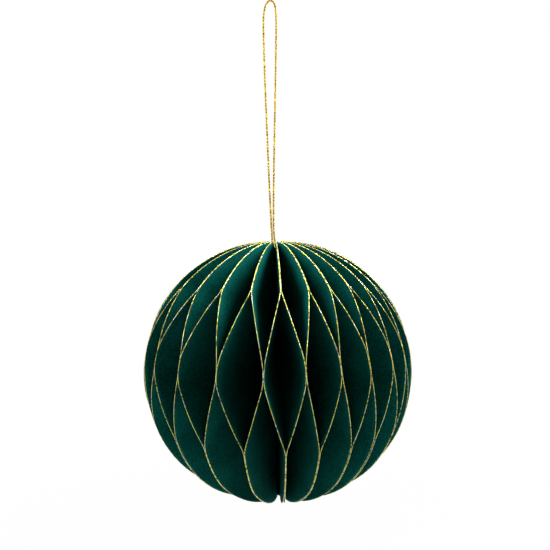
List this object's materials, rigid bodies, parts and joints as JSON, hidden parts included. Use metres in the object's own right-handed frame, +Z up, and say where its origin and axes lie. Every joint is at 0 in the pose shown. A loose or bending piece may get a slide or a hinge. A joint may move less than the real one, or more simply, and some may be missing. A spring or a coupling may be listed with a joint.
{
  "type": "honeycomb paper ball ornament",
  "caption": "Hanging honeycomb paper ball: bent half-disc card leaves glued in staggered bands around a spine, with glittered rims and a loop of twisted metallic cord.",
  "frame": {"origin": "inside of the top of the hanging loop, where a hook carries the ornament", "axes": "+Z up along the ball's spine, the front of the ball looks along -Y, +X to the viewer's right"},
  "size_m": [0.1, 0.1, 0.1825],
  "materials": {
    "leaf_card": "dyed uncoated card, dark bottle green, cut rims dipped in fine gold glitter",
    "metallic_cord": "twisted gold lurex cord"
  },
  "bodies": {
    "root": {"leaf_01": "leaf_card", "leaf_02": "leaf_card", "leaf_03": "leaf_card", "leaf_04": "leaf_card", "leaf_05": "leaf_card", "leaf_06": "leaf_card", "leaf_07": "leaf_card", "leaf_08": "leaf_card", "leaf_09": "leaf_card", "leaf_10": "leaf_card", "leaf_11": "leaf_card", "leaf_12": "leaf_card", "leaf_13": "leaf_card", "leaf_14": "leaf_card", "leaf_15": "leaf_card", "leaf_16": "leaf_card", "leaf_17": "leaf_card", "leaf_18": "leaf_card", "leaf_19": "leaf_card", "leaf_20": "leaf_card", "leaf_21": "leaf_card", "leaf_22": "leaf_card", "leaf_23": "leaf_card", "leaf_24": "leaf_card", "leaf_25": "leaf_card", "leaf_26": "leaf_card", "leaf_27": "leaf_card", "leaf_28": "leaf_card", "leaf_29": "leaf_card", "leaf_30": "leaf_card", "leaf_31": "leaf_card", "leaf_32": "leaf_card", "leaf_33": "leaf_card", "leaf_34": "leaf_card", "leaf_35": "leaf_card", "leaf_36": "leaf_card", "leaf_37": "leaf_card", "leaf_38": "leaf_card", "leaf_39": "leaf_card", "leaf_40": "leaf_card", "leaf_41": "leaf_card", "leaf_42": "leaf_card", "leaf_43": "leaf_card", "leaf_44": "leaf_card", "leaf_45": "leaf_card", "leaf_46": "leaf_card", "leaf_47": "leaf_card", "leaf_48": "leaf_card", "hang_cord": "metallic_cord"}
  },
  "joints": []
}
